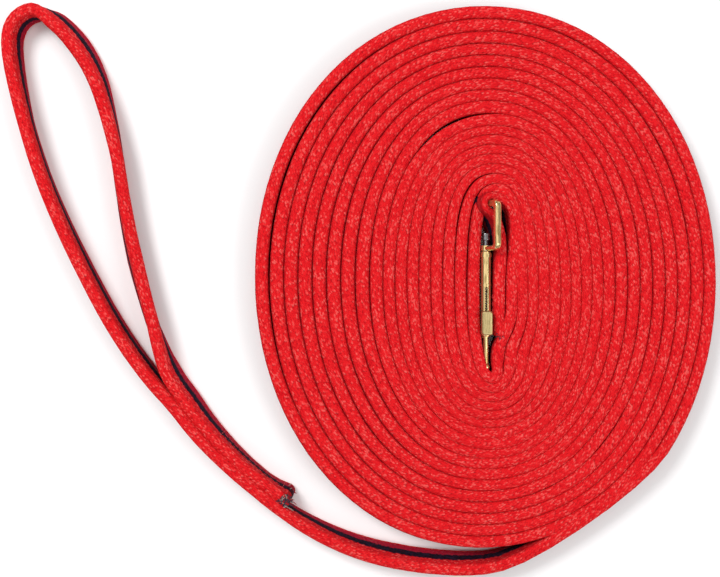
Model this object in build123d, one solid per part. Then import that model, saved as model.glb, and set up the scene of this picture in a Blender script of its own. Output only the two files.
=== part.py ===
from build123d import *
import math
import os

# A long flat web line rolled up on its edge, with a bolt snap at its inner end and a sewn hand loop at its
# outer end. Millimetres. The web stands on its edge on the surface Z = 0, +X runs across the roll from the
# hand loop to the roll's far side, and +Y runs along the roll's long axis, from the hook to the eye.

# ---- web
web_width = 19.0
web_thickness = 7.0
layer_gap = 0.4            # between two layers that are sewn together
last_run_share = 0.6       # how much of the tail's next run the laid-back end covers

# ---- roll
roll_length = 319.0        # along Y
roll_width = 271.5         # along X
roll_centre = (73.6, 4.9)

fold_gap = 0.8             # between the eye's end bar and the web folded round it
strand_gap = 0.6           # between the tab and the first strand beside it
ledge_drop = 12.0          # from the barrel's top down to where the first strand leaves the roll
tab_reach = 1.0            # the tab's cut end, above the barrel's hook end

# ---- the opening in the roll: its room round what lies in it
slot_room = 1.0
slot_left_trim = 0.1
head_left_room = 0.8
head_top_room = 1.2
head_bottom_room = 2.5

# ---- bolt snap: its place and its main sizes
snap_x = 74.0
snap_axis_z = 14.8
barrel_radius = 3.1
barrel_top_y = 21.8
barrel_length = 50.0
bore_radius = 2.0
running_gap = 0.05         # radial, between parts that turn or slide in each other
bolt_travel = 14.0
collar_height = 0.5        # the collars stand this proud of the barrel
side_gap = 1.2             # between the snap's barrel and the web each side of it
collar_inset = 3.4         # the top collar's lower edge, below the barrel's top
collar_width = 2.2
ring_width = 1.2           # a finer ring above the knob's slot
ring_slot_gap = 0.6
slot_end_wall = 0.8        # barrel left between the knob's slot and the barrel's end

# ---- swivel eye
eye_wire = 4.0             # width and depth of the eye's bars
eye_side_gap = 1.6         # between the web's edges and the eye's arms
eye_lean = 25.0            # degrees, the eye's turn about the snap's axis from upright
eye_length = 29.5          # from the outside of the base bar to the outside of the end bar
eye_base = 3.0             # depth of the base bar along the snap
eye_base_gap = 0.4         # between the barrel and the base bar
eye_boss_radius = 3.2

# ---- swivel post
post_radius = 1.5
post_head_radius = 2.4
post_head_height = 4.4
post_head_play = 3.0       # between the base bar and the head
post_groove = 0.5
post_flange_radius = 1.9
post_flange_height = 2.0
post_flange_inset = 2.0    # the flange's top, below the barrel's top

# ---- hook
hook_rod_radius = 2.1
hook_depth = 11.0          # from the snap's axis to the rod's centre at the bottom of the hook
hook_length = 20.0         # from the barrel's end to the nose
nose_cup_depth = 0.9
nose_cup_gap = 0.25        # radial, round the bolt's tip
hook_bends = (3.4, 5.2, 5.2)

# ---- bolt and knob
bolt_radius = bore_radius - running_gap
bolt_tip_radius = 1.6
bolt_tip_gap = 0.3         # between the bolt's tip and the floor of the cup in the nose
bolt_tail = 14.0           # bolt inside the barrel, from the barrel's hook end
knob_length = 14.0
knob_width = 6.4
knob_height = 6.0
knob_neck_width = 1.4
knob_slot_gap = 0.15       # each side of the knob's neck
knob_barrel_gap = 0.3
knob_corner = 1.4
knob_top_edge = 1.0
knob_pin_inset = 0.2       # the pin is this much thinner than the neck, each side
knob_ridges = 4
ridge_height = 0.35
ridge_width = 0.7

# ---- spring
spring_wire_radius = 0.3
spring_turns = 11
spring_bore_gap = 0.12
spring_end_gap = 0.05

# ---- sewing
thread_radius = 0.45
thread_core_radius = 0.3   # where the thread is pulled tight through the web
stitch_length = 3.0
stitch_pitch = 5.0
stitch_rows = (-6.0, 0.0, 6.0)   # heights from the web's middle
stitch_stand_out = 0.3
loop_stitched_share = 0.7  # of the laid-back end's first run
snap_stitch_count = 5
snap_stitch_inset = 3.0    # the first stitch, from the tab's cut end

# ---- corners
small_edge = 0.6
eye_edge = 1.8
join = 1.0                 # how far rods of one solid run into each other

# ---- worked out
mid_z = web_width / 2
eye_half_inner = web_width / 2 + eye_side_gap
eye_base_y = barrel_top_y + eye_base_gap
eye_end_y = eye_base_y + eye_length
end_bar_y = eye_end_y - eye_wire / 2
barrel_end_y = barrel_top_y - barrel_length
lean_sin = math.sin(math.radians(eye_lean))
lean_cos = math.cos(math.radians(eye_lean))
fold_radius = eye_wire / 2 + fold_gap + web_thickness / 2
tab_x = snap_x + barrel_radius + side_gap + web_thickness / 2
first_strand_x = tab_x + web_thickness + strand_gap
ledge_y = barrel_top_y - ledge_drop
tab_end_y = barrel_end_y + tab_reach
pin_radius = knob_neck_width / 2 - knob_pin_inset
slot_low_y = barrel_end_y + slot_end_wall
slot_top_y = slot_low_y + knob_length + bolt_travel + 2 * knob_slot_gap
knob_middle_y = slot_low_y + knob_slot_gap + knob_length / 2
flange_top_y = barrel_top_y - post_flange_inset
nose_seat_y = barrel_end_y - hook_length + 2 * hook_rod_radius - nose_cup_depth
bolt_tip_y = nose_seat_y + bolt_tip_gap

# The line's free stretches, seen from above along the middle of the web.
tail_points = [
    (118.0, -150.0),
    (92.0, -161.0),
    (58.0, -163.8),
    (21.5, -159.5),
    (-8.0, -151.5),
    (-37.0, -137.0),
    (-61.0, -119.0),
    (-81.0, -100.5),
    (-97.0, -83.0),
]
loop_points = [
    (-97.0, -83.0),
    (-109.0, -69.9),
    (-125.0, -51.5),
    (-145.5, -22.0),
    (-165.5, 15.5),
    (-185.0, 57.0),
    (-197.5, 97.5),
    (-205.0, 141.0),
    (-202.5, 157.0),
    (-191.5, 163.6),
    (-180.5, 158.5),
    (-167.5, 146.0),
    (-156.0, 127.0),
    (-149.0, 102.0),
    (-143.5, 76.0),
    (-140.0, 50.0),
    (-134.0, 18.0),
    (-123.5, -20.0),
    (-113.5, -49.0),
    (-101.0, -64.0),
]


def corner_radii(points):
    """The largest arc that each corner's two runs allow."""
    radii = []
    for before, at, after in zip(points, points[1:], points[2:]):
        run_in = Vector(*at) - Vector(*before)
        run_out = Vector(*after) - Vector(*at)
        turn = math.radians(run_in.get_angle(run_out))
        radii.append(0.45 * min(run_in.length, run_out.length) / math.tan(turn / 2))
    return radii


def web_along(points, name):
    """The web standing on its edge along a flat route of straight runs and tangent arcs."""
    radii = corner_radii(points)
    print(name, "arc radii:", ", ".join(f"{radius:.0f}" for radius in radii))
    path = FilletPolyline(*[(x, y, mid_z) for x, y in points], radius=radii)
    section = Plane(origin=path @ 0, z_dir=path % 0, x_dir=(0, 0, 1)) * Rectangle(web_width, web_thickness)
    web = sweep(section, path=path)
    wanted = web_width * web_thickness * path.length
    print(f"{name} length {path.length:.0f} mm, volume over section times length {web.volume / wanted:.4f}")
    return web


def beside(points, offset):
    """Inner points moved sideways to the left, so that each run stays parallel to its own."""
    moved = []
    for before, at, after in zip(points, points[1:], points[2:]):
        way_in = (Vector(*at) - Vector(*before)).normalized()
        way_out = (Vector(*after) - Vector(*at)).normalized()
        side = Vector(-way_in.Y - way_out.Y, way_in.X + way_out.X, 0)
        place = Vector(*at) + side * (2 * offset / side.dot(side))
        moved.append((place.X, place.Y))
    return moved


def roll_outline():
    return Pos(*roll_centre) * Ellipse(roll_width / 2, roll_length / 2)


def slot_outline():
    """The opening in the middle of the roll: a slot for the snap, wider round the eye and the fold."""
    reach = fold_radius + web_thickness / 2
    slot_left = snap_x - barrel_radius - side_gap + slot_left_trim
    slot_right = first_strand_x - web_thickness / 2
    slot_bottom = barrel_end_y - hook_length - 2 * hook_rod_radius - 2 * slot_room
    head_left = snap_x - reach * lean_cos - web_width / 2 * lean_sin - head_left_room
    head_right = first_strand_x + web_thickness / 2 + web_width / 2 * lean_sin + slot_room
    head_top = end_bar_y + reach + head_top_room
    head_bottom = eye_base_y - head_bottom_room
    outline = Polyline(
        (slot_left, slot_bottom),
        (slot_right, slot_bottom),
        (slot_right, ledge_y),
        (head_right, ledge_y),
        (head_right, head_top),
        (head_left, head_top),
        (head_left, head_bottom),
        (slot_left, head_bottom),
        close=True,
    )
    return make_face(outline)


def make_web_coil():
    return extrude(roll_outline() - slot_outline(), web_width)


def make_web_tail():
    """The tail, cut to the roll's outside where it leaves it."""
    return web_along(tail_points, "web_tail") - extrude(roll_outline(), web_width)


def sewn_layer_points():
    """The end of the web, laid back along the tail from the hand loop's foot."""
    step = web_thickness + layer_gap
    layer = beside(list(reversed(tail_points)), step)
    cut = Vector(*layer[2]) + (Vector(*layer[3]) - Vector(*layer[2])) * last_run_share
    return layer[:3] + [(cut.X, cut.Y)]


def make_web_hand_loop():
    """The loop, and its end laid back beside the tail."""
    return web_along(loop_points + sewn_layer_points(), "web_hand_loop")


def in_eye(across, along, up=0.0):
    """A point in the eye's own leaning frame: across the eye's plane, along the snap, up the web."""
    return (
        snap_x + across * lean_cos + up * lean_sin,
        along,
        snap_axis_z - across * lean_sin + up * lean_cos,
    )


def snap_end_stations():
    """The middle of the web and its lean, from the first strand round the end bar to the cut end."""
    stations = [
        ((first_strand_x, ledge_y, mid_z), 0.0),
        ((first_strand_x + 0.2, ledge_y + 6.5, mid_z + 0.5), eye_lean * 0.2),
        ((first_strand_x + 0.4, barrel_top_y + 1.0, mid_z + 0.9), eye_lean * 0.5),
        ((first_strand_x + 0.7, end_bar_y - 17.0, mid_z + 1.0), eye_lean * 0.84),
        ((first_strand_x - 0.4, end_bar_y - 7.0, mid_z + 1.2), eye_lean * 0.92),
        ((first_strand_x - 5.0, end_bar_y + 2.0, mid_z + 1.5), eye_lean * 0.97),
        (in_eye(fold_radius * 0.8, end_bar_y + fold_radius * 0.94), eye_lean),
    ]
    for turn in range(90, 271, 30):
        angle = math.radians(turn)
        across = fold_radius * math.cos(angle)
        along = end_bar_y + fold_radius * math.sin(angle)
        stations.append((in_eye(across, along), eye_lean))
    stations += [
        (in_eye(fold_radius * 0.6, end_bar_y - fold_radius * 1.3), eye_lean),
        (in_eye(fold_radius * 1.1, end_bar_y - fold_radius * 2.0), eye_lean - 1),
        ((tab_x - 1.2, end_bar_y - fold_radius * 3.1, mid_z + 0.8), eye_lean - 6),
        ((tab_x - 0.2, end_bar_y - fold_radius * 4.3, mid_z + 0.8), eye_lean * 0.5),
        ((tab_x, barrel_top_y - 7.0, mid_z + 0.4), eye_lean * 0.2),
        ((tab_x, barrel_top_y - 17.0, mid_z), 0.0),
        ((tab_x, tab_end_y, mid_z), 0.0),
    ]
    return stations


def make_web_snap_end():
    """The fold round the eye's end bar and the tab beside the snap, as one lofted web."""
    stations = snap_end_stations()
    places = [Vector(*place) for place, lean in stations]
    sections = []
    for at, (place, lean) in enumerate(stations):
        before = places[max(at - 1, 0)]
        after = places[min(at + 1, len(places) - 1)]
        up = Vector(math.sin(math.radians(lean)), 0, math.cos(math.radians(lean)))
        way = after - before
        way = way - up * way.dot(up)
        if at in (0, len(places) - 1):
            way = Vector(0, way.Y, 0)
        plane = Plane(origin=places[at], z_dir=way, x_dir=up)
        sections.append(plane * Rectangle(web_width, web_thickness))
    return loft(sections, ruled=True)


def snap_axis_plane(along):
    """A plane across the snap's axis, with its x towards +X, its y down and its normal towards the eye."""
    return Plane(origin=(snap_x, along, snap_axis_z), z_dir=(0, 1, 0), x_dir=(1, 0, 0))


def rod_from(along, radius, length):
    """A round rod on the snap's axis, from a place along it towards the eye."""
    return extrude(snap_axis_plane(along) * Circle(radius), length)


def make_swivel_eye():
    """A leaning rectangular eye with a bored boss in the middle of its base bar."""
    outer_width = 2 * (eye_half_inner + eye_wire)
    outer = Rectangle(outer_width, eye_length)
    inner = Rectangle(2 * eye_half_inner, eye_length - eye_wire - eye_base)
    outer = fillet(outer.vertices(), eye_wire)
    inner = fillet(inner.vertices(), eye_wire / 2)
    inner = Pos(0, (eye_base - eye_wire) / 2) * inner
    ring = extrude(outer - inner, eye_wire / 2, both=True)
    ring = fillet(ring.edges(), min(eye_edge, eye_base * 0.45))
    middle_y = eye_base_y + eye_length / 2
    eye_plane = Plane(
        origin=(snap_x, middle_y, snap_axis_z),
        x_dir=(lean_sin, 0, lean_cos),
        z_dir=(-lean_cos, 0, lean_sin),
    )
    eye = eye_plane * ring
    eye += rod_from(eye_base_y, eye_boss_radius, eye_base)
    return eye - rod_from(eye_base_y - join, post_radius + running_gap, eye_base + 2 * join)


def make_swivel_post():
    """A rivet with a grooved head inside the eye and a flange held in the barrel."""
    flange_y = flange_top_y - post_flange_height
    head_y = eye_base_y + eye_base + post_head_play
    post = rod_from(flange_y, post_radius, head_y - flange_y + join / 2)
    post += rod_from(flange_y, post_flange_radius, post_flange_height)
    head = rod_from(head_y, post_head_radius, post_head_height)
    head = fillet(head.edges(), small_edge)
    groove_y = head_y + (post_head_height - post_groove) / 2
    groove = rod_from(groove_y, post_head_radius + join, post_groove)
    groove -= rod_from(head_y, post_head_radius - post_groove, post_head_height)
    return post + (head - groove)


def make_snap_body():
    """The barrel with its bore and knob slot, and the hook below its end."""
    barrel = rod_from(barrel_end_y, barrel_radius, barrel_length)
    barrel = chamfer(barrel.edges(), small_edge / 2)
    barrel += rod_from(barrel_top_y - collar_inset, barrel_radius + collar_height, collar_width)
    barrel += rod_from(slot_top_y + ring_slot_gap, barrel_radius + collar_height / 2, ring_width)
    body = barrel + make_hook()
    bore_y = barrel_end_y - 3 * join
    body -= rod_from(bore_y, bore_radius, flange_top_y - bore_y)
    body -= rod_from(flange_top_y - join, post_radius + running_gap, post_flange_inset + 2 * join)
    slot_width = knob_neck_width + 2 * knob_slot_gap
    slot = Box(slot_width, slot_top_y - slot_low_y, barrel_radius * 2)
    return body - Pos(snap_x, (slot_low_y + slot_top_y) / 2, snap_axis_z + barrel_radius) * slot


def make_hook():
    """A round rod that runs down from the barrel's end, round, and up to the bolt's tip."""
    reach = hook_length - hook_rod_radius
    start_y = barrel_end_y + join
    path = FilletPolyline(
        (snap_x, start_y, snap_axis_z - barrel_radius + hook_rod_radius),
        (snap_x, start_y - 4.0, snap_axis_z - hook_depth * 0.7),
        (snap_x, barrel_end_y - reach * 0.45, snap_axis_z - hook_depth - 0.6),
        (snap_x, barrel_end_y - reach * 1.02, snap_axis_z - hook_depth * 0.72),
        (snap_x, barrel_end_y - reach, snap_axis_z + hook_rod_radius * 0.7),
        radius=list(hook_bends),
    )
    start = Plane(origin=path @ 0, z_dir=path % 0)
    hook = sweep(start * Circle(hook_rod_radius), path=path)
    hook += Pos(*(path @ 1)) * Sphere(hook_rod_radius)
    return hook - rod_from(nose_seat_y, bolt_tip_radius + nose_cup_gap, 6 * join)


def make_bolt_rod():
    """The bolt: a full-size rod in the barrel and a thinner tip that closes the hook."""
    tip = rod_from(bolt_tip_y, bolt_tip_radius, barrel_end_y - bolt_tip_y + join)
    rod = rod_from(barrel_end_y - join / 2, bolt_radius, bolt_tail + join / 2)
    hole = Pos(snap_x, knob_middle_y, snap_axis_z + bore_radius) * Cylinder(pin_radius, 2 * bore_radius)
    return tip + rod - hole


def make_thumb_knob():
    """A ridged block on the barrel, with a neck through the slot and a pin pressed in the bolt."""
    seat_z = snap_axis_z + barrel_radius + knob_barrel_gap
    on_base = (Align.CENTER, Align.CENTER, Align.MIN)
    block = Box(knob_width, knob_length, knob_height, align=on_base)
    block = fillet(block.edges().filter_by(Axis.Z), knob_corner)
    block = fillet(block.faces().sort_by(Axis.Z)[-1].edges(), knob_top_edge)
    knob = Pos(snap_x, knob_middle_y, seat_z) * block
    for ridge in range(knob_ridges):
        ridge_x = snap_x + (ridge - (knob_ridges - 1) / 2) * knob_width / (knob_ridges + 1)
        ridge_bar = Box(ridge_width, knob_length * 0.8, 2 * ridge_height)
        knob += Pos(ridge_x, knob_middle_y, seat_z + knob_height) * ridge_bar
    neck_base_z = snap_axis_z + bolt_radius
    neck = Box(knob_neck_width, knob_length, seat_z - neck_base_z + join / 2, align=on_base)
    knob += Pos(snap_x, knob_middle_y, neck_base_z) * neck
    pin = Cylinder(pin_radius, neck_base_z - snap_axis_z + join / 2, align=on_base)
    return knob + Pos(snap_x, knob_middle_y, snap_axis_z + running_gap) * pin


def make_bolt_spring():
    """A coil spring in the bore, from the bolt's tail to the post's flange."""
    low_y = barrel_end_y + bolt_tail + spring_wire_radius + spring_end_gap
    high_y = flange_top_y - post_flange_height - spring_wire_radius - spring_end_gap
    coil_radius = bore_radius - spring_bore_gap - spring_wire_radius
    helix = Helix(pitch=(high_y - low_y) / spring_turns, height=high_y - low_y, radius=coil_radius)
    section = Plane(origin=helix @ 0, z_dir=helix % 0) * Circle(spring_wire_radius)
    spring = sweep(section, path=helix, is_frenet=True)
    return snap_axis_plane(low_y) * spring


def stitch_through(place, way, depth):
    """One stitch: thread through the layers, and a float on each face. Way is along the web, flat."""
    across = Vector(-way.Y, way.X, 0)
    thread = Cylinder(thread_core_radius, depth + 2 * stitch_stand_out)
    plane = Plane(origin=place, z_dir=across, x_dir=way)
    pieces = plane * thread
    for side in (-1, 1):
        float_plane = Plane(origin=place + across * side * (depth / 2 + stitch_stand_out * 0.5)
                            - way * stitch_length / 2, z_dir=way)
        pieces += float_plane * extrude(Circle(thread_radius), stitch_length)
    return pieces


def make_hand_loop_stitches():
    """Rows of stitches through the tail and the end laid back on it."""
    layer = sewn_layer_points()
    start = Vector(*layer[0], mid_z)
    end = Vector(*layer[1], mid_z)
    way = (end - start).normalized()
    across = Vector(-way.Y, way.X, 0)
    depth = 2 * web_thickness + layer_gap
    first_run = (end - start).length
    count = int(first_run * loop_stitched_share / stitch_pitch)
    pieces = []
    for row in stitch_rows:
        for at in range(count):
            along = first_run * (1 - loop_stitched_share) / 2 + (at + 0.5) * stitch_pitch
            middle = start + way * along - across * (web_thickness + layer_gap) / 2
            pieces.append(stitch_through(middle + Vector(0, 0, row), way, depth))
    return Compound(children=pieces)


def make_snap_end_stitches():
    """Rows of stitches through the tab and the first strand beside it."""
    way = Vector(0, 1, 0)
    depth = first_strand_x - tab_x + web_thickness
    middle_x = (tab_x + first_strand_x) / 2
    pieces = []
    for row in stitch_rows:
        for at in range(snap_stitch_count):
            along = tab_end_y + snap_stitch_inset + at * stitch_pitch
            pieces.append(stitch_through(Vector(middle_x, along, mid_z + row), way, depth))
    return Compound(children=pieces)


makers = {
    "web_coil": make_web_coil,
    "web_tail": make_web_tail,
    "web_hand_loop": make_web_hand_loop,
    "web_snap_end": make_web_snap_end,
    "hand_loop_stitches": make_hand_loop_stitches,
    "snap_end_stitches": make_snap_end_stitches,
    "swivel_eye": make_swivel_eye,
    "swivel_post": make_swivel_post,
    "snap_body": make_snap_body,
    "bolt_rod": make_bolt_rod,
    "thumb_knob": make_thumb_knob,
    "bolt_spring": make_bolt_spring,
}

os.makedirs("parts", exist_ok=True)
for node, make in makers.items():
    export_step(make(), f"parts/{node}.step")
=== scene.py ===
import math
import random

import bmesh
import bpy
import numpy as np
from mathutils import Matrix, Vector, noise


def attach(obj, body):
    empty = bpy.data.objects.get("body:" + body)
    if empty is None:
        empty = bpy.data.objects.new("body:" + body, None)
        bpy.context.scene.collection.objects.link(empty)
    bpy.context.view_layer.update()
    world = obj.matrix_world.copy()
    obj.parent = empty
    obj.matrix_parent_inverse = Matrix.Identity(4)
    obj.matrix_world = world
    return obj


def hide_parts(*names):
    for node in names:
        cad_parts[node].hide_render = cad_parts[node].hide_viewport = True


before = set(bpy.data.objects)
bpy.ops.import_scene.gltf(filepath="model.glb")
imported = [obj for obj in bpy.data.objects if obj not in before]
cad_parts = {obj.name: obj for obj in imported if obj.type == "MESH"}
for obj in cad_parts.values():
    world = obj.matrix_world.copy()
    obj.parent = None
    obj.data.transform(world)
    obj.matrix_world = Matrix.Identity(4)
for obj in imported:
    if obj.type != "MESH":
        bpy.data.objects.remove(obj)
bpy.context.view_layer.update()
MM = 0.001

# ------------------------------------------------------------------ sizes, in millimetres as in the model
WEB_WIDTH = 19.0
WEB_THICKNESS = 7.0
MID_Z = WEB_WIDTH / 2

# ------------------------------------------------------------------ camera, straight above the roll
IMAGE_WIDTH_MM = 421.2          # what the picture's width covers at the height of the web's upper edge
CAMERA_HEIGHT = 700.0


def make_camera():
    """Looks straight down from above the frame's origin."""
    data = bpy.data.cameras.new("camera")
    camera = bpy.data.objects.new("camera", data)
    bpy.context.scene.collection.objects.link(camera)
    camera.location = (0.0, 0.0, CAMERA_HEIGHT * MM)
    camera.rotation_euler = (0.0, 0.0, 0.0)
    data.sensor_fit = "HORIZONTAL"
    data.angle = 2 * math.atan(IMAGE_WIDTH_MM / 2 / (CAMERA_HEIGHT - WEB_WIDTH))
    data.clip_start = 0.01
    bpy.context.scene.camera = camera


make_camera()

# ------------------------------------------------------------------ the line's route
# From the cut end of the tab beside the snap, round the eye's end bar and down the first strand. Each row is
# the middle of the web, its lean in degrees from upright with the upper edge towards +X, how much of its
# width and how much of its thickness the web keeps where it is pulled tight round the bar.
SNAP_END_ROUTE = [
    (81.3, -27.2, 9.5, 0, 1.0, 0.84),
    (81.7, -16.0, 9.5, 0, 1.0, 0.96),
    (81.7, -5.0, 9.5, 0, 1.0, 1.0),
    (81.8, 4.8, 9.5, 0, 1.0, 1.0),
    (81.8, 14.8, 9.6, 5, 1.0, 1.0),
    (81.5, 22.6, 9.9, 11, 1.0, 0.95),
    (80.6, 30.4, 10.3, 17, 0.97, 0.88),
    (78.9, 37.2, 11.2, 21, 0.95, 0.78),
    (76.4, 42.0, 12.6, 24, 0.94, 0.70),
    (73.2, 44.7, 14.0, 25, 0.94, 0.65),
    (70.3, 46.6, 15.2, 25, 0.94, 0.65),
    (69.2, 49.8, 15.8, 25, 0.94, 0.65),
    (70.4, 53.0, 15.3, 25, 0.94, 0.65),
    (73.8, 54.4, 13.9, 25, 0.94, 0.65),
    (78.6, 53.8, 12.1, 24, 0.94, 0.70),
    (83.2, 51.6, 11.0, 21, 0.95, 0.80),
    (86.9, 47.5, 10.3, 18, 0.97, 0.90),
    (89.0, 41.6, 9.9, 14, 1.0, 0.97),
    (89.7, 33.0, 9.6, 11, 1.0, 1.0),
    (89.6, 22.8, 9.5, 7, 1.0, 1.0),
    (89.6, 16.3, 9.5, 3, 1.0, 1.0),
    (89.4, 9.8, 9.5, 0, 1.0, 1.0),
]
# From the roll to the hand loop: the middle of the web, and its lean in degrees with the upper edge towards
# the left of its way.
TAIL_ROUTE = [
    (118.0, -150.0, 4),
    (92.0, -161.0, 12),
    (58.0, -163.8, 22),
    (21.5, -159.5, 24),
    (-8.0, -151.5, 18),
    (-37.0, -137.0, 8),
    (-61.0, -119.0, 3),
    (-81.8, -101.4, 2),
    (-98.0, -84.2, 5),
]
# Round the hand loop and back to the tail.
LOOP_ROUTE = [
    (-108.4, -69.2, 9),
    (-125.0, -51.5, 9),
    (-145.5, -22.0, 8),
    (-165.5, 15.5, 5),
    (-185.0, 57.0, 0),
    (-198.5, 97.5, -3),
    (-207.0, 140.0, 8),
    (-205.0, 157.0, 10),
    (-193.0, 165.4, 6),
    (-181.0, 160.0, -22),
    (-167.5, 146.5, -24),
    (-156.0, 127.0, -14),
    (-149.0, 102.0, 0),
    (-143.5, 76.0, 10),
    (-140.0, 50.0, 14),
    (-134.0, 18.0, 19),
    (-123.5, -20.0, 12),
    (-113.5, -49.0, -16),
    (-101.8, -65.0, -20),
    (-92.3, -78.5, -16),
    (-76.8, -96.1, -10),
    (-57.1, -114.0, -6),
    (-44.2, -122.2, -16),
]

# ------------------------------------------------------------------ the roll
LAST_TURN = 17.16               # where the tail leaves the roll
STEPS = 24                      # route points in each turn
SLOPE_TURN = 8.5                # the turns inside this one are wound tighter than the ones outside it
# Where neighbouring turns gape: the turn just outside the gap, the place round the turn, how far round it
# reaches, both as a share of a turn, and how wide it opens.
PARTINGS = (
    (8, 0.70, 0.090, 4.0),
    (7, 0.24, 0.070, 2.9),
    (13, 0.13, 0.050, 2.6),
    (16, 0.64, 0.170, 1.3),
    (15, 0.90, 0.120, 1.6),
    (4, 0.06, 0.100, 1.2),
)
PARTING_FADE = 2.2              # turns over which a gap's push dies away
HOOK_TUCK = 8.8                 # how far the strands below the tab's end close in on the hook
TUCK_STARTS = 20.0              # below the snap's middle, in millimetres along -Y
TUCK_FULL = 36.0
TUCK_EASES = (40.0, 47.0)
TUCK_EASED = 0.35               # the share of it that is given back below the hook
FOLD_ROOM = 1.6                 # how far the strands stand off beside the fold
FOLD_PLACE = 0.63               # where in a turn the fold lies, and how far round it reaches
FOLD_REACH = 0.07
MIDDLE_FADE = 2.5               # turns over which the fold's and the hook's push dies away
FOLD_LEAN = 15.0                # degrees that the first strand leans in at the fold, and the second one
SECOND_LEAN = 7.0
UNEVEN_LEAN = 3.5               # degrees that the other turns lean in and out
UNEVEN_REACH = 45.0             # millimetres from one uneven lean to the next


def wound(turn, start, tight, loose, first=0.0):
    """How far out a turn lies, from a tight pitch near the middle to a loose one outside."""
    along = turn - first
    past = max(0.0, turn - SLOPE_TURN)
    return start + tight * along + (loose - tight) * past


def smooth_step(value, low, high):
    along = min(1.0, max(0.0, (value - low) / (high - low)))
    return along * along * (3 - 2 * along)


def parted(turn):
    """How far a turn is pushed out or in by the gaps near it, and by the fold inside the first turns."""
    push = 0.0
    for outside, place, reach, opening in PARTINGS:
        lap = round(turn - place)
        share = math.exp(-((turn - place - lap) / reach) ** 2)
        past = lap - outside
        if past >= 0:
            push += opening / 2 * share * math.exp(-past / PARTING_FADE)
        else:
            push -= opening / 2 * share * math.exp((past + 1) / PARTING_FADE)
    beside = turn - FOLD_PLACE - round(turn - FOLD_PLACE)
    return push + FOLD_ROOM * math.exp(-(beside / FOLD_REACH) ** 2) * math.exp(-turn / MIDDLE_FADE)


def roll_point(turn):
    """The middle of the web at a turn of the roll, counted clockwise from the first strand's right side."""
    right = wound(turn, 89.4, 6.3, 7.45)
    left = -wound(turn, -66.0, 7.1, 8.5, 0.5)
    top = wound(turn, 59.4, 5.85, 7.05, 0.75)
    bottom = -wound(turn, 53.5, 5.4, 6.65, 0.25)
    middle = ((right + left) / 2, (top + bottom) / 2)
    half = ((right - left) / 2, (top - bottom) / 2)
    angle = 2 * math.pi * turn
    power = 2 / (2.04 + 0.9 * math.exp(-turn / 4))
    across = math.copysign(abs(math.cos(angle)) ** power, math.cos(angle))
    along = -math.copysign(abs(math.sin(angle)) ** power, math.sin(angle))
    push = parted(turn) / math.hypot(across, along)
    x = middle[0] + (half[0] + push) * across
    y = middle[1] + (half[1] + push) * along
    tuck = smooth_step(-y, TUCK_STARTS, TUCK_FULL) * (1 - TUCK_EASED * smooth_step(-y, *TUCK_EASES))
    tuck *= max(0.0, math.cos(angle)) ** 0.25 * math.exp(-turn / MIDDLE_FADE)
    return x - HOOK_TUCK * tuck, y


def inner_lean(turn):
    """How far the upper edge leans towards the middle of the roll, in degrees."""
    over_fold = FOLD_LEAN * smooth_step(turn, 0.46, 0.60) * (1 - smooth_step(turn, 0.64, 0.80))
    second = SECOND_LEAN * smooth_step(turn, 1.50, 1.62) * (1 - smooth_step(turn, 1.66, 1.80))
    x, y = roll_point(turn)
    uneven = UNEVEN_LEAN * noise.noise(Vector((x / UNEVEN_REACH, y / UNEVEN_REACH, 2.0 + turn / 9.0)))
    return over_fold + second + uneven * smooth_step(turn, 0.9, 2.0)


def standing_height(lean):
    """How high the middle of the web lies when it leans and its lower edge rests on the ground."""
    tilt = math.radians(lean)
    straight = (WEB_WIDTH / 2 - EDGE_ROUND) * math.cos(tilt)
    return straight + math.hypot(EDGE_ROUND * math.cos(tilt), WEB_THICKNESS / 2 * math.sin(tilt))


def line_points():
    """Every control point: its place, its lean, and the share it keeps of its width and thickness.

    The lean is towards +X in the snap's end, and towards the left of the way from there on."""
    points = list(SNAP_END_ROUTE)
    for step in range(int(LAST_TURN * STEPS) + 1):
        x, y = roll_point(step / STEPS)
        lean = -inner_lean(step / STEPS)
        points.append((x, y, standing_height(lean), lean, 1.0, 1.0))
    points += [(x, y, standing_height(lean), lean, 1.0, 1.0) for x, y, lean in TAIL_ROUTE[1:] + LOOP_ROUTE]
    return points


def spline_samples(points, per_point):
    """The points of a smooth NURBS curve with these control points, as Blender works them out."""
    data = bpy.data.curves.new("line_route", "CURVE")
    data.dimensions = "3D"
    data.resolution_u = per_point
    spline = data.splines.new("NURBS")
    spline.points.add(len(points) - 1)
    for control, point in zip(spline.points, points):
        control.co = (point[0] * MM, point[1] * MM, point[2] * MM, 1.0)
    spline.order_u = 3
    spline.use_endpoint_u = True
    holder = bpy.data.objects.new("line_route", data)
    mesh = bpy.data.meshes.new_from_object(holder)
    samples = np.array([vertex.co[:] for vertex in mesh.vertices])
    bpy.data.objects.remove(holder)
    bpy.data.curves.remove(data)
    bpy.data.meshes.remove(mesh)
    return samples


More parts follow.
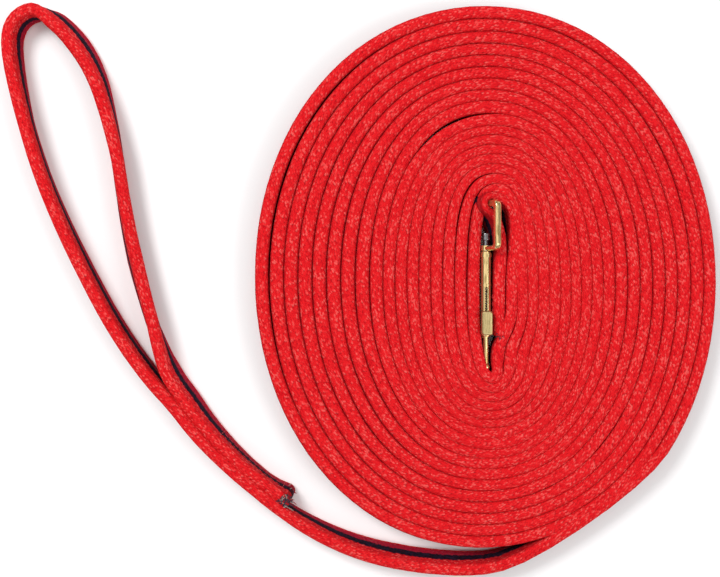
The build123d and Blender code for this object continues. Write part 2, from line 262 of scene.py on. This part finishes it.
# ------------------------------------------------------------------ the web
EDGE_ROUND = 2.8                # the rounding of the web's two edges
EDGE_STEPS = 8
SIDE_HEIGHTS = (4.8, 0.0, -4.8)
SIDE_FULLNESS = (1.0, 1.05, 1.0)
LOOSE = 0.15                    # how much fuller the web stands on each side where nothing presses it
LOOSE_BY_SNAP = 0.10            # and how much more where the first strand faces the snap
FLATTEST_RIM = 0.45             # how much of the rounding is left where the turns press hardest
MOST_HALF = 4.15                # the web doesn't swell past this where the turns gape
END_SWELL = 0.28                # how much thicker the web is at its frayed end
SWELL_REACH = 6.0
ROUGHNESS = 0.12                # the uneven surface of the yarns
SEWN_HALF = 3.35                # half the web's thickness where it is sewn flat
SEWN_BELOW = (70.0, 84.0)       # where it is: millimetres along -Y and -X over which the layers join
SEWN_LEFT_OF = (30.0, 42.0)
SLACK_FROM, SLACK_FULL = 2.75, 4.0   # half thicknesses of a pressed and of a slack web
TAB_CLOSING = 0.9               # how far each cut end closes past its last section
LOOP_CLOSING = 4.4


def web_profile():
    """The web's section: how far across its thickness, from -1 to 1, and how high, in millimetres."""
    rim = WEB_WIDTH / 2 - EDGE_ROUND
    upper = []
    for step in range(EDGE_STEPS + 1):
        angle = math.pi * step / EDGE_STEPS
        upper.append((math.cos(angle), rim + EDGE_ROUND * math.sin(angle)))
    side = list(zip(SIDE_FULLNESS, SIDE_HEIGHTS))
    profile = upper + [(-full, height) for full, height in side]
    profile += [(-across, -height) for across, height in upper]
    profile += [(full, -height) for full, height in side]
    return profile


def sewn_share(x, y, at_end):
    """1 where the web is sewn flat to another layer, 0 where it is free, for a place in millimetres."""
    if not at_end:
        return 0.0
    return smooth_step(-y, *SEWN_BELOW) * smooth_step(-x, *SEWN_LEFT_OF)


def half_thicknesses(at, place, normal, roll_start):
    """Half the web's thickness to the right and to the left of its way, in millimetres."""
    turn = (at - roll_start) / STEPS
    right = left = WEB_THICKNESS / 2 + LOOSE
    if 0.4 < turn < 1.0:
        right += LOOSE_BY_SNAP
    if 0 <= turn <= LAST_TURN:
        here = Vector(roll_point(turn))
        flat = Vector(normal[:2]).normalized()
        if turn >= 1.0:
            inner = Vector(roll_point(turn - 1))
            right = min(MOST_HALF, abs((inner - here).dot(flat)) / 2)
        if turn + 1 <= LAST_TURN:
            outer = Vector(roll_point(turn + 1))
            left = min(MOST_HALF, abs((outer - here).dot(flat)) / 2)
    sewn = sewn_share(place[0], place[1], at > roll_start + LAST_TURN * STEPS)
    right += (SEWN_HALF - right) * sewn
    left += (SEWN_HALF - left) * sewn
    return right, left


def close_end(bm, ring, outward, side, depth):
    """A soft cut end: the two faces close round it, so many millimetres past the last section."""
    middle = sum((vertex.co for vertex in ring), Vector()) / len(ring)
    # the stripe's height and the painted groove shade carry on round the cut end
    layers = [bm.verts.layers.float[name] for name in ("height", "rim")]
    first = ring
    for angle in (0.4, 0.8, 1.15, 1.45):
        inner = []
        for vertex in first:
            narrowed = side * ((vertex.co - middle).dot(side) * (1 - math.cos(angle)))
            closed = bm.verts.new(vertex.co - narrowed + outward * (depth * math.sin(angle) * MM))
            for layer in layers:
                closed[layer] = vertex[layer]
            inner.append(closed)
        for spot in range(len(ring)):
            after = (spot + 1) % len(ring)
            bm.faces.new((ring[spot], ring[after], inner[after], inner[spot])).smooth = True
        ring = inner
    bm.faces.new(ring)


def make_web():
    """The whole web as one swept mesh, and where each of its sections stands."""
    points = line_points()
    samples = spline_samples(points, 4)
    count = len(samples)
    index = np.linspace(0, len(points) - 2, count) + 0.5
    index[0], index[-1] = 0, len(points) - 1
    index = np.clip(index, 0, len(points) - 1)
    lean, wide, thick = (np.interp(index, range(len(points)), [point[column] for point in points])
                         for column in (3, 4, 5))
    snap_end = len(SNAP_END_ROUTE)
    along = np.concatenate([[0], np.cumsum(np.linalg.norm(np.diff(samples, axis=0), axis=1))])
    ways = np.gradient(samples, along, axis=0)
    profile = web_profile()
    rim = MID_Z - EDGE_ROUND
    around = [0.0]
    for (u0, v0), (u1, v1) in zip(profile, profile[1:] + profile[:1]):
        around.append(around[-1] + math.hypot((u1 - u0) * WEB_THICKNESS / 2, v1 - v0))
    bm = bmesh.new()
    height_layer = bm.verts.layers.float.new("height")
    # the rim attribute holds painted shade: how dark the web is painted towards its edges, in the grooves
    # between turns
    groove_shade_layer = bm.verts.layers.float.new("rim")
    rings = []
    stations = []
    for at in range(count):
        place = Vector(samples[at])
        way = Vector(ways[at]).normalized()
        if index[at] < snap_end:
            leaning = Vector((math.tan(math.radians(lean[at])), 0, 1))
        else:
            leaning = Vector((0, 0, 1)) + Vector((-way.y, way.x, 0)) * math.tan(math.radians(lean[at]))
        side = leaning.cross(way).normalized()
        up = way.cross(side).normalized()
        right, left = half_thicknesses(index[at], place / MM, side, snap_end)
        swelling = 1 + END_SWELL * math.exp(-((along[-1] - along[at]) / (SWELL_REACH * MM)) ** 2)
        sewn_at = sewn_share(place.x / MM, place.y / MM, index[at] > snap_end + LAST_TURN * STEPS)
        taller = 1 + 0.030 * noise.noise(Vector((along[at] * 11, 3.1, 0)))
        slack = smooth_step(min(left, right), SLACK_FROM, SLACK_FULL)
        free = smooth_step((index[at] - snap_end) / STEPS - LAST_TURN, 0.0, 0.12)
        # painted shade in the grooves between turns: less where the layers are sewn flat and on the free tail
        # and loop, a little more where the web is slack
        groove_shade = (1 - 0.8 * sewn_at) * (1 - 0.9 * free) * (0.80 + 0.20 * slack)
        rounding = FLATTEST_RIM + (1 - FLATTEST_RIM) * slack
        ring = []
        for across, height in profile:
            if abs(height) >= rim:
                height = math.copysign(MID_Z - (MID_Z - abs(height)) * rounding, height)
            reach = (left if across > 0 else right) * across * thick[at] * swelling
            rise = height * wide[at] * (taller if height > 0 else 1.0)
            spot = place + side * (reach * MM) + up * (rise * MM)
            rough = noise.noise(spot * 420.0) * ROUGHNESS * MM
            spot += (side * across + up * (height / MID_Z)) * rough
            vertex = bm.verts.new(spot)
            vertex[height_layer] = height / MID_Z
            vertex[groove_shade_layer] = min(1.0, abs(across)) * groove_shade
            ring.append(vertex)
        rings.append(ring)
        stations.append((along[at], place, way, side, up, left * thick[at] * swelling * MM))
    uv_layer = bm.loops.layers.uv.new("weave")
    ring_size = len(profile)
    for at in range(count - 1):
        for spot in range(ring_size):
            after = (spot + 1) % ring_size
            face = bm.faces.new((rings[at][spot], rings[at + 1][spot],
                                 rings[at + 1][after], rings[at][after]))
            face.smooth = True
            corners = ((at, spot), (at + 1, spot), (at + 1, spot + 1), (at, spot + 1))
            for loop, (row, column) in zip(face.loops, corners):
                loop[uv_layer].uv = (along[row], around[column] * MM)
    close_end(bm, rings[0], -stations[0][2], stations[0][3], TAB_CLOSING)
    close_end(bm, rings[-1], stations[-1][2], stations[-1][3], LOOP_CLOSING)
    bmesh.ops.recalc_face_normals(bm, faces=bm.faces)
    mesh = bpy.data.meshes.new("web")
    bm.to_mesh(mesh)
    bm.free()
    web = bpy.data.objects.new("web", mesh)
    bpy.context.scene.collection.objects.link(web)
    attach(web, "line")
    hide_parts("web_coil", "web_tail", "web_hand_loop", "web_snap_end")
    return web, stations


# ------------------------------------------------------------------ stitches and frayed threads
STITCH_LENGTH = 3.2
STITCH_PITCH = 4.2
STITCH_RADIUS = 0.26
STITCH_HEIGHTS = (-5.4, -1.8, 1.8, 5.4)
STITCH_ARCH = ((0.0, -0.25), (0.15, 0.05), (0.5, 0.15), (0.85, 0.05), (1.0, -0.25))
FRAY_SHARES = [step / 5 for step in range(6)]
LOWEST_FRAY = 0.5               # a loose thread stays this far above the ground


def add_tube(bm, points, radius, sides=6, material=0):
    """A round thread along these points, closed at both ends."""
    rings = []
    for at, point in enumerate(points):
        way = points[min(at + 1, len(points) - 1)] - points[max(at - 1, 0)]
        across = way.orthogonal().normalized()
        other = way.cross(across).normalized()
        turns = [2 * math.pi * side / sides for side in range(sides)]
        rings.append([bm.verts.new(point + (across * math.cos(turn) + other * math.sin(turn)) * radius)
                      for turn in turns])
    for ring, after in zip(rings, rings[1:]):
        for side in range(sides):
            next_side = (side + 1) % sides
            face = bm.faces.new((ring[side], ring[next_side], after[next_side], after[side]))
            face.smooth = True
            face.material_index = material
    bm.faces.new(list(reversed(rings[0]))).material_index = material
    bm.faces.new(rings[-1]).material_index = material


def finish_piece(bm, name, materials):
    """The mesh as a piece of the line, with these materials in its slots."""
    bmesh.ops.recalc_face_normals(bm, faces=bm.faces)
    mesh = bpy.data.meshes.new(name)
    bm.to_mesh(mesh)
    bm.free()
    piece = bpy.data.objects.new(name, mesh)
    bpy.context.scene.collection.objects.link(piece)
    for material in materials:
        mesh.materials.append(material)
    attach(piece, "line")
    return piece


def on_face(stations, at, height, proud):
    """A point on the web's outer face, at a distance along the line and a height on the web."""
    run = [station[0] for station in stations]
    after = min(len(run) - 1, max(1, int(np.searchsorted(run, at))))
    share = (at - run[after - 1]) / (run[after] - run[after - 1])
    spots = [place + side * (left + proud * MM) + up * (height * MM)
             for _, place, _, side, up, left in (stations[after - 1], stations[after])]
    return spots[0].lerp(spots[1], share)


def make_stitches(name, node, stations, stretches, material):
    """Rows of lockstitch on the left face of each stretch, with a row across at both of its ends."""
    bm = bmesh.new()
    for first, last in stretches:
        for height in STITCH_HEIGHTS:
            for count in range(int((last - first) / (STITCH_PITCH * MM))):
                start = first + count * STITCH_PITCH * MM
                add_tube(bm, [on_face(stations, start + share * STITCH_LENGTH * MM, height, proud)
                              for share, proud in STITCH_ARCH], STITCH_RADIUS * MM)
        for end in (first - 1.2 * MM, last):
            for low, high in zip(STITCH_HEIGHTS, STITCH_HEIGHTS[1:]):
                add_tube(bm, [on_face(stations, end, low + (high - low) * (0.08 + 0.84 * share), proud)
                              for share, proud in STITCH_ARCH], STITCH_RADIUS * MM)
    piece = finish_piece(bm, name, [material])
    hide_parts(node)


def make_frays(name, station, outward, spread, threads, seed, materials):
    """Loose warp threads matted on a cut end of the web, most of them near its upper edge."""
    chance = random.Random(seed)
    _, place, way, side, up, left = station
    bm = bmesh.new()
    for _ in range(threads):
        along = outward * spread * chance.uniform(-0.5, 0.9) * MM
        height = (1 - 1.7 * chance.random() ** 4) * MID_Z * MM
        start = place + way * along + side * (left * chance.uniform(-0.75, 0.75)) + up * height
        heading = chance.uniform(-2.2, 2.2)
        aim = way * (outward * math.cos(heading)) + side * math.sin(heading) + up * chance.uniform(-0.2, 0.25)
        curl = side * chance.uniform(-1.2, 1.2) + way * chance.uniform(-1.2, 1.2) - up * 0.4
        reach = chance.uniform(0.4, 0.9) * spread * MM
        points = [start + aim * (reach * share) + curl * (reach * 0.45 * share ** 2) for share in FRAY_SHARES]
        points = [Vector((spot.x, spot.y, max(spot.z, LOWEST_FRAY * MM))) for spot in points]
        add_tube(bm, points, chance.uniform(0.16, 0.30) * MM, 5, chance.choice((0, 1, 1, 1, 1, 2)))
    finish_piece(bm, name, materials)


# ------------------------------------------------------------------ materials
class Nodes:
    """A short way to write a material's nodes."""

    def __init__(self, name):
        self.material = bpy.data.materials.new(name)
        self.material.use_nodes = True
        self.tree = self.material.node_tree
        self.shader = self.tree.nodes["Principled BSDF"]

    def add(self, kind, inputs=None, **settings):
        node = self.tree.nodes.new(kind)
        for name, value in settings.items():
            setattr(node, name, value)
        for name, value in (inputs or {}).items():
            self.set(node, name, value)
        return node

    def set(self, node, name, value):
        if isinstance(value, bpy.types.NodeSocket):
            self.tree.links.new(value, node.inputs[name])
        else:
            node.inputs[name].default_value = value

    def math(self, operation, first, second=0.0, clamp=False):
        node = self.add("ShaderNodeMath", {0: first, 1: second}, operation=operation, use_clamp=clamp)
        return node.outputs[0]

    def ramp(self, factor, stops):
        node = self.add("ShaderNodeValToRGB", {"Fac": factor})
        elements = node.color_ramp.elements
        while len(elements) < len(stops):
            elements.new(0.5)
        for element, (position, colour) in zip(elements, stops):
            element.position = position
            element.color = colour if len(colour) == 4 else (*colour, 1.0)
        return node.outputs["Color"]

    def mix(self, factor, first, second, blend="MIX"):
        node = self.add("ShaderNodeMix", data_type="RGBA", blend_type=blend)
        self.set(node, 0, factor)
        self.set(node, 6, first)
        self.set(node, 7, second)
        return node.outputs[2]


RED_DEEP = (0.60, 0.005, 0.010, 1.0)
RED_BASE = (0.72, 0.011, 0.015, 1.0)
RED_LIGHT = (0.77, 0.030, 0.032, 1.0)
RED_PALE = (0.83, 0.095, 0.085, 1.0)
# painted shade: the dark red of the grooves between turns
GROOVE_SHADE_RED = (0.26, 0.003, 0.007, 1.0)
# painted shade for the web's lower side
CRIMSON_SHADE = (0.22, 0.004, 0.034, 1.0)
NAVY_DEEP = (0.002, 0.002, 0.006, 1.0)
NAVY_LIGHT = (0.012, 0.011, 0.030, 1.0)
YARN_SHADOW = (0.10, 0.002, 0.004, 1.0)
YARN_LENGTH = 1.35 * MM
YARN_WIDTH = 0.85 * MM
STRIPE_HALF = 0.26              # the navy stripe's half width, as a share of the web's half width


def make_web_material():
    """Red yarns and a navy stripe along the middle of each face, with painted shade in crimson below the
    stripe and painted dark red shade in the grooves.
    """
    n = Nodes("web_weave")
    uv = n.add("ShaderNodeUVMap", uv_map="weave").outputs["UV"]
    parts = n.add("ShaderNodeSeparateXYZ", {0: uv})
    slant = n.math("ADD", n.math("DIVIDE", parts.outputs["X"], YARN_LENGTH),
                   n.math("MULTIPLY", n.math("DIVIDE", parts.outputs["Y"], YARN_WIDTH), 0.3))
    cells = n.add("ShaderNodeCombineXYZ", {"X": slant, "Y": n.math("DIVIDE", parts.outputs["Y"], YARN_WIDTH)})
    yarn = n.add("ShaderNodeTexVoronoi", {"Vector": cells.outputs[0], "Scale": 1.0, "Randomness": 0.8},
                 voronoi_dimensions="2D")
    shade = n.add("ShaderNodeSeparateColor", {0: yarn.outputs["Color"]})
    fibres = n.add("ShaderNodeTexNoise", {"Vector": uv, "Scale": 2600.0, "Detail": 2.0})
    patches = n.add("ShaderNodeTexNoise", {"Vector": uv, "Scale": 55.0, "Detail": 3.0})
    patchy = n.math("MULTIPLY", n.math("SUBTRACT", patches.outputs["Fac"], 0.5), 0.35)
    tone = n.math("ADD", shade.outputs[0], patchy)
    red = n.ramp(tone, [(0.0, RED_DEEP), (0.25, RED_BASE), (0.60, RED_BASE), (0.80, RED_LIGHT),
                        (1.0, RED_PALE)])
    navy = n.ramp(tone, [(0.0, NAVY_DEEP), (1.0, NAVY_LIGHT)])
    height = n.add("ShaderNodeAttribute", attribute_name="height").outputs["Fac"]
    ragged = n.math("MULTIPLY", n.math("SUBTRACT", shade.outputs[1], 0.5), 0.09)
    edge = n.math("ADD", n.math("ABSOLUTE", height), ragged)
    stripe = n.math("MULTIPLY", n.math("SUBTRACT", STRIPE_HALF + 0.03, edge), 16.0, clamp=True)
    # painted shade: the lower side of the web turns crimson, where less light falls, with a faint touch of it
    # next to the stripe above
    low = n.math("MULTIPLY", n.math("SUBTRACT", 0.10, height), 3.0, clamp=True)
    shaded = n.math("MULTIPLY", n.math("SUBTRACT", 0.80, edge), 5.0, clamp=True)
    red = n.mix(n.math("MULTIPLY", shaded, n.math("ADD", n.math("MULTIPLY", low, 0.62), 0.06)), red, CRIMSON_SHADE)
    # painted groove shade: dark red towards the web's edges, where the turns meet
    rim = n.add("ShaderNodeAttribute", attribute_name="rim").outputs["Fac"]
    rim = n.math("ADD", rim, n.math("MULTIPLY", n.math("SUBTRACT", shade.outputs[2], 0.5), 0.10))
    rim = n.math("MULTIPLY", n.math("SUBTRACT", rim, 0.72), 3.6, clamp=True)
    red = n.mix(n.math("MULTIPLY", n.math("POWER", rim, 1.4), 0.80), red, GROOVE_SHADE_RED)
    colour = n.mix(stripe, red, navy)
    # painted shade between the yarns
    groove_shade = n.math("MULTIPLY", n.math("SUBTRACT", yarn.outputs["Distance"], 0.42), 2.2, clamp=True)
    colour = n.mix(groove_shade, colour, n.mix(0.55, colour, YARN_SHADOW))
    n.set(n.shader, "Base Color", colour)
    n.shader.inputs["Roughness"].default_value = 0.9
    n.shader.inputs["Specular IOR Level"].default_value = 0.08
    relief = n.math("ADD", n.math("MULTIPLY", yarn.outputs["Distance"], -1.0),
                    n.math("MULTIPLY", fibres.outputs["Fac"], 0.35))
    bump = n.add("ShaderNodeBump", {"Height": relief, "Strength": 0.75, "Distance": 0.45 * MM})
    n.set(n.shader, "Normal", bump.outputs[0])
    return n.material


def make_metal(name, bright, dark, rough_low, rough_high, scratch):
    """Cast or drawn metal: tones in streaks along the snap, fine scratches and pits."""
    n = Nodes(name)
    place = n.add("ShaderNodeTexCoord").outputs["Object"]
    streaked = n.add("ShaderNodeMapping", {"Vector": place, "Scale": (900.0, 110.0, 900.0)})
    tone = n.add("ShaderNodeTexNoise", {"Vector": streaked.outputs[0], "Scale": 1.0, "Detail": 3.0})
    stretched = n.add("ShaderNodeMapping", {"Vector": place, "Scale": (2600.0, 240.0, 2600.0)})
    lines = n.add("ShaderNodeTexNoise", {"Vector": stretched.outputs[0], "Scale": 1.0, "Detail": 3.0})
    pits = n.add("ShaderNodeTexNoise", {"Vector": place, "Scale": 1400.0, "Detail": 3.0})
    colour = n.ramp(tone.outputs["Fac"], [(0.36, dark), (0.50, bright), (1.0, bright)])
    n.set(n.shader, "Base Color", colour)
    n.shader.inputs["Metallic"].default_value = 0.9
    rough = n.add("ShaderNodeMapRange", {"Value": lines.outputs["Fac"], "From Min": 0.3, "From Max": 0.7,
                                         "To Min": rough_low, "To Max": rough_high})
    n.set(n.shader, "Roughness", rough.outputs[0])
    relief = n.math("ADD", lines.outputs["Fac"], n.math("MULTIPLY", pits.outputs["Fac"], 0.5))
    bump = n.add("ShaderNodeBump", {"Height": relief, "Strength": scratch, "Distance": 0.03 * MM})
    n.set(n.shader, "Normal", bump.outputs[0])
    return n.material


def make_thread_material(name, dark, light):
    """Twisted thread, from a dark to a light tone."""
    n = Nodes(name)
    place = n.add("ShaderNodeTexCoord").outputs["Object"]
    twist = n.add("ShaderNodeTexWave", {"Vector": place, "Scale": 900.0, "Distortion": 1.5})
    colour = n.ramp(twist.outputs["Fac"], [(0.0, dark), (1.0, light)])
    n.set(n.shader, "Base Color", colour)
    n.shader.inputs["Roughness"].default_value = 0.6
    bump = n.add("ShaderNodeBump", {"Height": twist.outputs["Fac"], "Strength": 0.5, "Distance": 0.1 * MM})
    n.set(n.shader, "Normal", bump.outputs[0])
    return n.material


def dress(node, material):
    """A CAD node keeps its shape and gets this material."""
    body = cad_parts[node]
    body.data.materials.clear()
    body.data.materials.append(material)


# ------------------------------------------------------------------ floor and light, in metres
FLOOR_HALF = 8.0


def make_floor():
    """A pale sheet that isn't part of the object."""
    mesh = bpy.data.meshes.new("floor")
    corners = [(-1, -1), (1, -1), (1, 1), (-1, 1)]
    mesh.from_pydata([(x * FLOOR_HALF, y * FLOOR_HALF, 0) for x, y in corners], [], [(0, 1, 2, 3)])
    floor = bpy.data.objects.new("floor", mesh)
    bpy.context.scene.collection.objects.link(floor)
    n = Nodes("pale_floor")
    n.shader.inputs["Base Color"].default_value = (0.92, 0.92, 0.92, 1.0)
    n.shader.inputs["Roughness"].default_value = 0.9
    n.shader.inputs["Specular IOR Level"].default_value = 0.1
    mesh.materials.append(n.material)


def make_light(name, place, size, power):
    """A round lamp that looks at the origin."""
    data = bpy.data.lights.new(name, "AREA")
    data.shape = "DISK"
    data.size = size
    data.energy = power
    light = bpy.data.objects.new(name, data)
    light.location = place
    light.rotation_euler = (-Vector(place)).to_track_quat("-Z", "Y").to_euler()
    bpy.context.scene.collection.objects.link(light)


def make_world():
    """A bright ceiling over dimmer walls and a pale horizon, so that the metal has something to reflect."""
    world = bpy.data.worlds.new("studio")
    world.use_nodes = True
    tree = world.node_tree
    place = tree.nodes.new("ShaderNodeTexCoord")
    parts = tree.nodes.new("ShaderNodeSeparateXYZ")
    ramp = tree.nodes.new("ShaderNodeValToRGB")
    tree.links.new(place.outputs["Generated"], parts.inputs[0])
    tree.links.new(parts.outputs["Z"], ramp.inputs["Fac"])
    elements = ramp.color_ramp.elements
    elements[0].color = (0.80, 0.80, 0.80, 1.0)
    elements[1].color = (1.05, 1.05, 1.05, 1.0)
    elements[1].position = 0.8
    for position, tone in ((0.2, 0.80), (0.3, 0.12), (0.5, 0.12)):
        elements.new(position).color = (tone, tone, tone, 1.0)
    tree.links.new(ramp.outputs["Color"], tree.nodes["Background"].inputs["Color"])
    tree.nodes["Background"].inputs["Strength"].default_value = 0.92
    bpy.context.scene.world = world


make_floor()
make_world()
make_light("key", (-0.9, 0.8, 1.6), 0.7, 22)
make_light("fill", (1.2, -0.5, 1.3), 0.9, 9)
bpy.context.scene.view_settings.view_transform = "Standard"

web, stations = make_web()
web.data.materials.append(make_web_material())
brass = make_metal("bright_brass", (0.84, 0.62, 0.29), (0.42, 0.30, 0.11), 0.14, 0.24, 0.18)
knob_brass = make_metal("worn_brass", (0.56, 0.44, 0.21), (0.30, 0.23, 0.10), 0.34, 0.55, 0.5)
steel = make_metal("plated_steel", (0.26, 0.26, 0.27), (0.07, 0.07, 0.08), 0.12, 0.24, 0.2)
thread = make_thread_material("sewing_thread", (0.26, 0.005, 0.010, 1.0), (0.62, 0.012, 0.020, 1.0))
navy_thread = make_thread_material("navy_thread", NAVY_DEEP, (0.02, 0.02, 0.05, 1.0))
pale_thread = make_thread_material("undyed_thread", (0.16, 0.10, 0.08, 1.0), (0.50, 0.42, 0.37, 1.0))
for node in ("swivel_eye", "snap_body", "bolt_rod"):
    dress(node, brass)
dress("thumb_knob", knob_brass)
for node in ("swivel_post", "bolt_spring"):
    dress(node, steel)

sewn = [station[0] for station in stations
        if sewn_share(station[1].x / MM, station[1].y / MM, station[0] > 1.0) > 0.99]
split = max(range(1, len(sewn)), key=lambda at: sewn[at] - sewn[at - 1])
loop_stretches = ((sewn[0] + 2 * MM, sewn[split - 1] - 2 * MM), (sewn[split] + 2 * MM, sewn[-1] - 4 * MM))
make_stitches("hand_loop_sewing", "hand_loop_stitches", stations, loop_stretches, thread)
first_strand = min(station[0] for station in stations if station[1].x > 0.085 and station[1].y < 0.0095)
tab_stitches = 4 * MM
tab_sewn = 24 * MM
snap_stretches = ((tab_stitches, tab_stitches + tab_sewn), (first_strand, first_strand + tab_sewn))
make_stitches("snap_end_sewing", "snap_end_stitches", stations, snap_stretches, thread)
fray_materials = [thread, navy_thread, pale_thread]
make_frays("loop_end_frays", stations[-1], 1, 4.2, 190, 7, fray_materials)
make_frays("tab_end_frays", stations[0], -1, 2.4, 20, 12, fray_materials)
